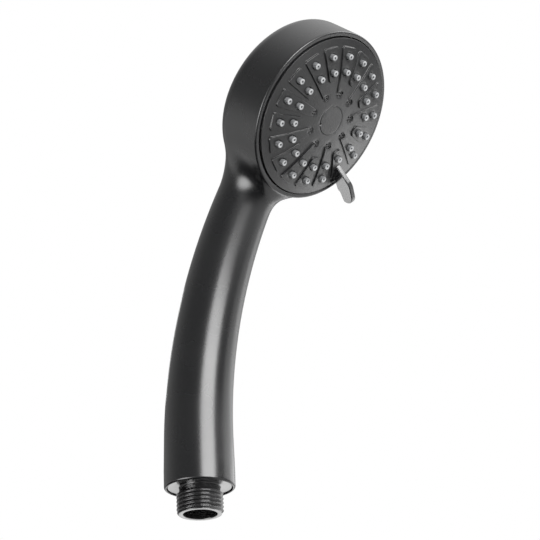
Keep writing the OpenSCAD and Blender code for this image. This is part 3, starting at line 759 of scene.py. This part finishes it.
def grown(tree, sockets, values, points=(), faces=()):
    """Runs a tree on a mesh and returns the result as points and faces, in millimetres."""
    start = bpy.data.meshes.new("host")
    start.from_pydata((np.asarray(points, float) * MM).tolist(), [], faces)
    host = bpy.data.objects.new("host", start)
    scene.collection.objects.link(host)
    modifier = host.modifiers.new("tree", "NODES")
    modifier.node_group = tree
    for label, value in values.items():
        modifier[sockets[label]] = value
    shown = host.evaluated_get(bpy.context.evaluated_depsgraph_get())
    mesh = bpy.data.meshes.new_from_object(shown)
    points = np.array([tuple(v.co) for v in mesh.vertices]) / MM
    faces = [list(p.vertices) for p in mesh.polygons]
    bpy.data.objects.remove(host)
    bpy.data.meshes.remove(mesh)
    return points, faces


def merged(*meshes):
    """Several lots of points and faces as one."""
    points, faces, start = [], [], 0
    for p, f in meshes:
        points.append(np.asarray(p, float))
        faces += [[i + start for i in face] for face in f]
        start += len(p)
    return np.concatenate(points), faces


triangle = (np.eye(3), [[0, 1, 2]])
print("two triangles as one mesh have", len(merged(triangle, triangle)[0]), "points")

# %% A tree that sets pieces in a ring
def ring_tree(name, material):
    """Geometry Nodes: one model on every point of a ring on the dome."""
    tree, sockets = new_tree(name, (
        ("Model", "Object", None), ("Count", "Int", columns),
        ("Ring radius", "Float", outer_ring_r), ("First angle", "Float", 0.0),
        ("Left out", "Int", -1), ("Height", "Float", 0.0)))
    flow = Flow(tree)
    given = flow.node("NodeGroupInput", take="Ring radius")
    ring = flow.node("GeometryNodeMeshCircle", {},
                     {"Vertices": given.out("Count"), "Radius": given * MM})
    is_left_out = flow.node("FunctionNodeCompare", {"data_type": "INT", "operation": "EQUAL"},
                            {"A_INT": flow.node("GeometryNodeInputIndex"),
                             "B_INT": given.out("Left out")})
    ring = flow.node("GeometryNodeDeleteGeometry", {"domain": "POINT"},
                     {"Geometry": ring, "Selection": is_left_out})
    lift = flow.node("ShaderNodeCombineXYZ", {}, {"Z": given.out("Height") * MM})
    start = flow.node("ShaderNodeCombineXYZ", {}, {"Z": given.out("First angle")})
    ring = flow.node("GeometryNodeTransform", {},
                     {"Geometry": ring, "Translation": lift, "Rotation": start})
    x = flow.node("ShaderNodeSeparateXYZ", {},
                  {"Vector": flow.node("GeometryNodeInputPosition")}, "X")
    turn = flow.node("ShaderNodeCombineXYZ", {}, {"Z": flow.math("ARCTAN2", x.out("Y"), x)})
    turn = flow.node("FunctionNodeEulerToRotation", {}, {"Euler": turn})
    model = flow.node("GeometryNodeObjectInfo", {}, {"Object": given.out("Model")}, "Geometry")
    end_tree(flow.node("GeometryNodeInstanceOnPoints", {},
                       {"Points": ring, "Instance": model, "Rotation": turn}), material)
    return tree, sockets


nozzle_tree, nozzle_sockets = ring_tree("nozzles in a ring", finishes["silicone_grey"])
print("the tree of the nozzles has", len(nozzle_tree.nodes), "nodes")

# %% The nozzle mat
mat_from, mat_to, mat_rings, mat_sides = 9.5, 34.4, 26, 144
mat_top, mat_low = 2.1, 3.3         # how far the sheet lies under the dome


def nozzle_ring(r, left_out):
    """A ring of nozzles that starts at the lever's column."""
    return grown(nozzle_tree, nozzle_sockets, {
        "Model": nozzle_model, "Count": columns, "Ring radius": r, "Left out": left_out,
        "First angle": math.radians(lever_at), "Height": float(dome(r))})


outer, inner = nozzle_ring(outer_ring_r, 0), nozzle_ring(inner_ring_r, -1)
radii = [float(r) for r in np.linspace(mat_from, mat_to, mat_rings)]
sheet = [circle(r, float(dome(r)) - mat_low, mat_sides) for r in radii]
sheet += [circle(r, float(dome(r)) - mat_top, mat_sides) for r in radii[::-1]]
# The sheet is a ring, so its last outline joins the first and both end fans go
sheet_points, sheet_faces = loft(sheet + sheet[:1])
sheet_faces = sheet_faces[:-2 * mat_sides]
mat_points, mat_faces = merged(outer, inner, (sheet_points, sheet_faces))
mat = mesh_piece("soft_nozzles", from_head(mat_points), mat_faces, finishes["silicone_grey"], 40)
fit(mat, "spray_head", "silicone_grey", "nozzle_mat")
bpy.data.objects.remove(nozzle_model)

# %% [markdown]
# ## Massage jets
# Each jet is a small black insert with four holes and a raised cross between them. Cutting the
# holes with booleans would leave long thin faces on so small a piece, so it is drawn flat and
# filled like the face, then set round the cap by the same kind of tree.

# %% One jet
jet_r, jet_flat_r, jet_top, jet_low = 1.68, 1.5, -0.05, -1.6
edge_drop, dish_drop = 0.1, 0.12        # outside the flat ring of the jet and inside it
jet_hole_at, jet_water_r = 0.82, 0.4    # each of the four holes: distance from the middle, radius


def jet_mesh():
    """A short barrel, with a flat ring at its edge and four blind holes in its dished top."""
    loops = [ring_flat((0, 0), jet_r, 32), ring_flat((0, 0), jet_flat_r, 32)]
    drops = [ring_flat(c, jet_water_r, 14)
             for c in centres([(jet_hole_at, a) for a in (45, 135, 225, 315)])]
    flat, lines = drawing(loops + drops)
    flat.append(Vector((0, 0)))
    spots, tris = filled(flat, lines, 1e-6)
    sunk = []
    for t in tris:
        middle = spots[list(t)].mean(0)
        nearest = min(np.linalg.norm(middle - drop.mean(0)) for drop in drops)
        sunk.append(nearest < jet_water_r - slack)
    r = np.linalg.norm(spots, axis=1)
    height = jet_top - edge_drop * (r > jet_flat_r + slack) - dish_drop * (r < jet_flat_r - slack)
    points = [*np.column_stack([spots, height])]
    points += [*np.column_stack([spots, np.full(len(spots), jet_low)])]
    n = len(spots)
    faces = [[i + n for i in t] if s else list(t) for t, s in zip(tris, sunk)]
    walls = open_edges([t for t, s in zip(tris, sunk) if not s])
    faces += [[a, a + n, b + n, b] for a, b in walls]
    rim = [i for i in range(n) if r[i] > jet_r - slack]
    rim.sort(key=lambda i: math.atan2(spots[i][1], spots[i][0]))
    faces.append([i + n for i in rim][::-1])
    return np.array(points), faces


jet_model = mesh_piece("jet_model", *jet_mesh(), finishes["jet_black"], 30)
print("one jet:", len(jet_model.data.polygons), "faces")

# %% The ring of jets
jet_tree, jet_sockets = ring_tree("jets in a ring", finishes["jet_black"])
jet_points, jet_faces = grown(jet_tree, jet_sockets, {
    "Model": jet_model, "Count": columns // 2, "Ring radius": jet_ring_r, "Left out": -1,
    "First angle": math.radians(lever_at) + math.radians(column_step),
    "Height": float(dome(jet_ring_r))})
jets = mesh_piece("four_hole_jets", from_head(jet_points), jet_faces, finishes["jet_black"], 30)
fit(jets, "spray_head", "gloss_black", "massage_jets")
bpy.data.objects.remove(jet_model)

# %% [markdown]
# ## Centre cap
# A thin disc that hides the screw. A fine groove shows round it, and one small notch lets a blade
# prise it out. It is turned like the plug, and the notch only pushes down the points next to it, so
# the disc stays one closed piece.

# %% Centre cap
cap_r, cap_round = 6.86, 0.22
notch_at, notch_r, notch_fade, notch_depth = 218, 0.5, 0.25, 0.8

cap_profile = [(5.0, -0.25), (cap_r - 0.05, -0.2), (cap_r, -0.05), (cap_r, dome_rise - 0.35)]
cap_profile += arc(cap_r - cap_round, dome_rise - 0.32, cap_round, 0, 90)
cap_profile += [(6.0, dome_rise - 0.09), (3, dome_rise - 0.03)]
cap_points, cap_faces = turned(cap_profile, 120)
away = np.linalg.norm(cap_points[:, :2] - centres([(cap_r, notch_at)])[0], axis=1)
cut = np.interp(away, (notch_r, notch_r + notch_fade), (notch_depth, 0))
cap_points[:, 2] -= np.where(cap_points[:, 2] > 0, cut, 0)
cap = mesh_piece("centre_disc", from_head(cap_points), cap_faces, finishes["face_black"], 35)
fit(cap, "spray_head", "face_black", "centre_cap")

# %% [markdown]
# ## Selector lever
# A flat fin that stands on the plate and reaches over the rim. A block could be bent to it, but its
# side is one clear outline: a straight ridge that runs tangent into a round crown, then back under
# the tip. So the outline is extruded to the lever's thickness, and a Bevel modifier rounds the
# edges, as the real moulding has them.

# %% The lever's outline
def lever_outline():
    """Radius and height of the fin's side, from its foot over the ridge and back under the tip."""
    knee, knee_r = np.array([38.4, -0.3]), 6.0
    crown, crown_r = np.array([43.2, 0.4]), 5.3
    foot_r = 27.4
    foot = np.array([foot_r, float(dome(foot_r)) + pad_h])
    run = knee - foot
    slope = math.degrees(math.atan2(run[1], run[0]) + math.asin(knee_r / np.linalg.norm(run)))
    under = float(dome(foot_r)) - 1.4
    out = [(foot_r, under), tuple(foot)] + arc(*knee, knee_r, 90 + slope, 90, 9)
    out += arc(*crown, crown_r, 90, -10, 19)
    out += [(47.9, -1.05), (46.9, -1.3), (45.2, -1.75), (43.9, -2.15), (43.25, -2.55),
            (42.8, -3.1), (42.4, -3.5), (41.8, -3.75), (38.0, -4.3), (35.3, -4.3), (35.3, under)]
    return np.array(out)


outline = lever_outline()
print("the fin reaches from", outline.min(0).round(1), "to", outline.max(0).round(1))

# %% Selector lever
half_t, lever_edge = 1.18, 0.45
sides = [np.column_stack([outline[:, 0], np.full(len(outline), y), outline[:, 1]])
         for y in (-half_t, half_t)]
n = len(outline)
faces = [list(range(n))[::-1], [i + n for i in range(n)]]
faces += [[i, (i + 1) % n, (i + 1) % n + n, i + n] for i in range(n)]
a = math.radians(lever_at)
spin = np.array([[math.cos(a), math.sin(a), 0], [-math.sin(a), math.cos(a), 0], [0, 0, 1]])
lever = mesh_piece("selector_fin", from_head(np.concatenate(sides) @ spin), faces,
                   finishes["lever_black"], 30)
bevel = lever.modifiers.new("edges", "BEVEL")
bevel.width, bevel.segments = lever_edge * MM, 5
bevel.limit_method, bevel.angle_limit = "ANGLE", math.radians(50)
fit(lever, "spray_head", "lever_black", "selector_lever")

# %% [markdown]
# ## Hose connector
# A turned plug with a flange, a relief and the hose thread. A separate spiral would have to be
# joined to the plug at both ends. But the thread follows a rule, so a small Geometry Nodes tree
# cuts it: each point of the plain barrel moves inwards by a wave of its height and its angle, which
# is a helix, and the wave fades at the relief and at the chamfer.

# %% The plain connector
thread_r, pitch, thread_depth = 10.4775, 1.814, 1.162
thread_start, thread_end, step = -0.8, 8.2, 0.06
chamfer_r, relief_r, flange_r, plug_r, inlet_r = 9.68, 9.2, 14.45, 11.5, 7.6
# The thread fades in over the chamfer, out at the relief, and spares the wall of the bore
chamfer_fade, relief_fade, spared_r, wall_fade, wall_kept = 1.1, 0.5, 9.0, 0.4, 0.3

barrel = [(inlet_r, 9.0), (inlet_r, -0.55)] + arc(inlet_r + 0.25, -0.55, 0.25, 180, 270, 4)
barrel += [(9.5, -0.8), (chamfer_r, -0.76)]
barrel += [(float(chamfer_r + (z + 0.72)), float(z)) for z in np.arange(-0.7, 0.08, step)]
barrel += [(thread_r, float(z)) for z in np.arange(0.12, thread_end - 0.05, step)]
barrel += [(thread_r, thread_end), (9.35, thread_end + 0.6), (relief_r, thread_end + 0.9)]
barrel += [(relief_r, 11.2)] + arc(relief_r + 0.3, 11.3, 0.3, 180, 90, 4) + [(14.2, 11.6)]
barrel += arc(14.2, 11.85, 0.25, 270, 360, 4)
barrel += [(flange_r, 14.75), (plug_r, 14.8), (plug_r, 29.2), (5.6, 29.3)]
plug_points, plug_faces = turned(barrel, 160)
print("plain connector:", len(plug_faces), "faces")

# %% The thread's tree
def thread_tree(material):
    """Geometry Nodes: cuts a helix into a barrel that stands on the z axis."""
    tree, sockets = new_tree("thread", (
        ("Geometry", "Geometry", None), ("Pitch", "Float", pitch),
        ("Depth", "Float", thread_depth), ("From", "Float", thread_start),
        ("To", "Float", thread_end), ("Spared radius", "Float", spared_r)))
    flow = Flow(tree)
    given = flow.node("NodeGroupInput", take="Pitch")
    place = flow.node("GeometryNodeInputPosition")
    x = flow.node("ShaderNodeSeparateXYZ", {}, {"Vector": place}, "X")
    y, z = x.out("Y"), x.out("Z") / MM
    radius = flow.math("SQRT", x * x + y * y) / MM
    # FRACT needs a number above zero, so 40 whole turns are added
    turns = z / given - flow.math("ARCTAN2", y, x) / (2 * math.pi) + 40.0
    wave = flow.math("ABSOLUTE", flow.math("FRACT", turns) - 0.5) * 2
    flank = (1 - flow.math("COSINE", wave * math.pi)) * 0.5
    fade_in = ((z - given.out("From")) / chamfer_fade).clamp()
    fade_out = ((given.out("To") - z) / relief_fade).clamp()
    solid = ((radius - given.out("Spared radius")) / wall_fade).clamp()
    cut = flank * given.out("Depth") * fade_in * fade_out * solid
    lowest = flow.math("MINIMUM", radius, given.out("Spared radius") + wall_kept)
    share = flow.math("MAXIMUM", radius - cut, lowest) / flow.math("MAXIMUM", radius, 0.001)
    moved = flow.node("ShaderNodeCombineXYZ", {},
                      {"X": x * share, "Y": y * share, "Z": x.out("Z")})
    end_tree(flow.node("GeometryNodeSetPosition", {},
                       {"Geometry": given.out("Geometry"), "Position": moved}), material)
    return tree, sockets


cut_points, _ = grown(*thread_tree(finishes["gloss_black"]), {"Pitch": pitch},
                      plug_points, plug_faces)
connector = mesh_piece("threaded_connector", cut_points, plug_faces, finishes["gloss_black"], 50)
fit(connector, "handset", "gloss_black", "hose_connector")

# %% [markdown]
# ## The painted surround
# Black plastic shows little but reflections, so the world is painted for them and lights everything
# else evenly. It is white to the camera. To a reflection it is a dim room, lighter above, with a
# pale band behind the shower, a pale ground in front of it, and soft patches that draw the shine on
# the neck, the handle's sides, the flange and the edges of the pads.

# %% World
world = bpy.data.worlds.new("studio")
scene.world = world
world.use_nodes = True
flow = Flow(world.node_tree)
direction = flow.node("ShaderNodeTexCoord", take="Generated")


def along(*way):
    """How far a ray points in a direction."""
    return direction.dot(Vector(way).normalized())


def smooth(value, low, high):
    """A soft step from 0 to 1 while a value goes from low to high."""
    return value.node("ShaderNodeMapRange", {"interpolation_type": "SMOOTHSTEP"},
                      {"Value": value, "From Min": low, "From Max": high})


def glow(way, tightness, brightness):
    """A soft round patch of light far away."""
    return flow.math("POWER", along(*way).clamp(), float(tightness)) * brightness


height = along(0, 0, 1)
walls = 0.04 + 0.2 * smooth(height, 0.0, 0.3)
band_behind = (glow((-0.2, 0.97, -0.1), 4, 1.1) * smooth(height, -0.25, -0.2)
               * (1 - 0.65 * smooth(height, 0.0, 0.16)))
overhead = glow((0.1, 0.0, 0.99), 4, 1.1)
high_right = glow((0.87, -0.13, 0.46), 14, 1.2)
ground = (1 - smooth(height, -0.27, -0.06)) * smooth(along(0.85, -0.5, 0), 0.1, 0.5)
ground = ground * (0.5 + glow((0.93, -0.15, -0.33), 4, 0.5))
high_front_right = glow((0.64, -0.58, 0.49), 30, 1.2)
bright_strip = glow((0.45, -0.68, 0.58), 14, 7.0) * smooth(height, 0.42, 0.52)
low_front_left = glow((-0.4, -0.88, -0.2), 40, 1.8)
beside_stripe = ((glow((-0.92, -0.36, -0.17), 22, 0.8) + glow((0.32, -0.94, -0.12), 12, 0.4))
                 * (1 - smooth(height, -0.02, 0.14)))
low_back_right = glow((0.77, 0.51, -0.38), 20, 2.0)
neck_window = 8.0 * smooth(along(-0.84, 0.28, -0.45), 0.885, 0.99)

surround = walls + band_behind + overhead + high_right + ground + high_front_right
surround = surround + bright_strip + low_front_left + beside_stripe + low_back_right + neck_window
seen_by_camera = flow.node("ShaderNodeLightPath", take="Is Camera Ray")
ambient = seen_by_camera.out("Is Glossy Ray").mix((0.5, 0.5, 0.5, 1), surround)
white = seen_by_camera.mix(ambient, (1, 1, 1, 1))
flow.feed(world.node_tree.nodes["Background"].inputs["Color"], white)
print("the surround is white to the camera and graded in reflections")

# %% [markdown]
# ## Floor
# A pale disc far below keeps the ground light from every side. Reflections pass through it, so the
# painted surround reaches all the way down.

# %% Floor
floor_r, floor_z = 12000, -900

floor_finish = finish("pale_floor", (0.9, 0.9, 0.9), 0.9, 30, 0.1, vary=0.01)
floor_nodes = floor_finish.node_tree.nodes
floor_flow = Flow(floor_finish.node_tree)
floor_paint = Flow(floor_finish.node_tree, floor_nodes["Principled BSDF"].outputs[0])
floor_end = floor_flow.node("ShaderNodeMixShader", {}, {
    0: floor_flow.node("ShaderNodeLightPath", take="Is Glossy Ray"), 1: floor_paint,
    2: floor_flow.node("ShaderNodeBsdfTransparent")})
floor_flow.feed(floor_nodes["Material Output"].inputs["Surface"], floor_end)
disc = [circle(r, z, 64) for r, z in [(floor_r, floor_z - 5), (floor_r, floor_z), (20, floor_z)]]
floor = mesh_piece("floor", *loft(disc), floor_finish, 35)
print("floor", -floor_z, "mm below the thread")

# %% [markdown]
# ## Lamps
# Four soft lamps do the rest. A large one in front draws the stripe along the handle, a card at the
# right lights the spray face at a low angle, and two small cards show the lever's flat side and the
# handle's far edge.

# %% Lamps
middle = Vector((0, -0.04, 0.1))
face = Vector(face_centre * MM)
fin = Vector((0.037, -0.061, 0.151))


def softbox(name, aim, towards, distance, size, brightness):
    """A rectangular lamp that faces a point. Brightness is its own, where white paper is 1."""
    lamp = bpy.data.lights.new(name, "AREA")
    lamp.shape, lamp.size, lamp.size_y = "RECTANGLE", *size
    lamp.energy = brightness * math.pi * size[0] * size[1]
    made = bpy.data.objects.new(name, lamp)
    made.location = aim + Vector(towards).normalized() * distance
    made.rotation_euler = (aim - made.location).to_track_quat("-Z", "Y").to_euler()
    made.visible_camera = False
    scene.collection.objects.link(made)
    print(name, "at", [round(v, 2) for v in made.location])


softbox("front_panel", middle, (-0.41, -0.88, 0.225), 2.4, (1.94, 1.36), 10.5)
softbox("right_card", face, (0.975, -0.02, -0.24), 0.45, (0.3, 0.26), 1.5)
softbox("fin_card", fin, (0.25, 0.95, -0.19), 0.15, (0.075, 0.075), 2.1)
softbox("edge_card", middle, (0.8, -0.585, 0.03), 0.3, (0.22, 0.07), 1.1)
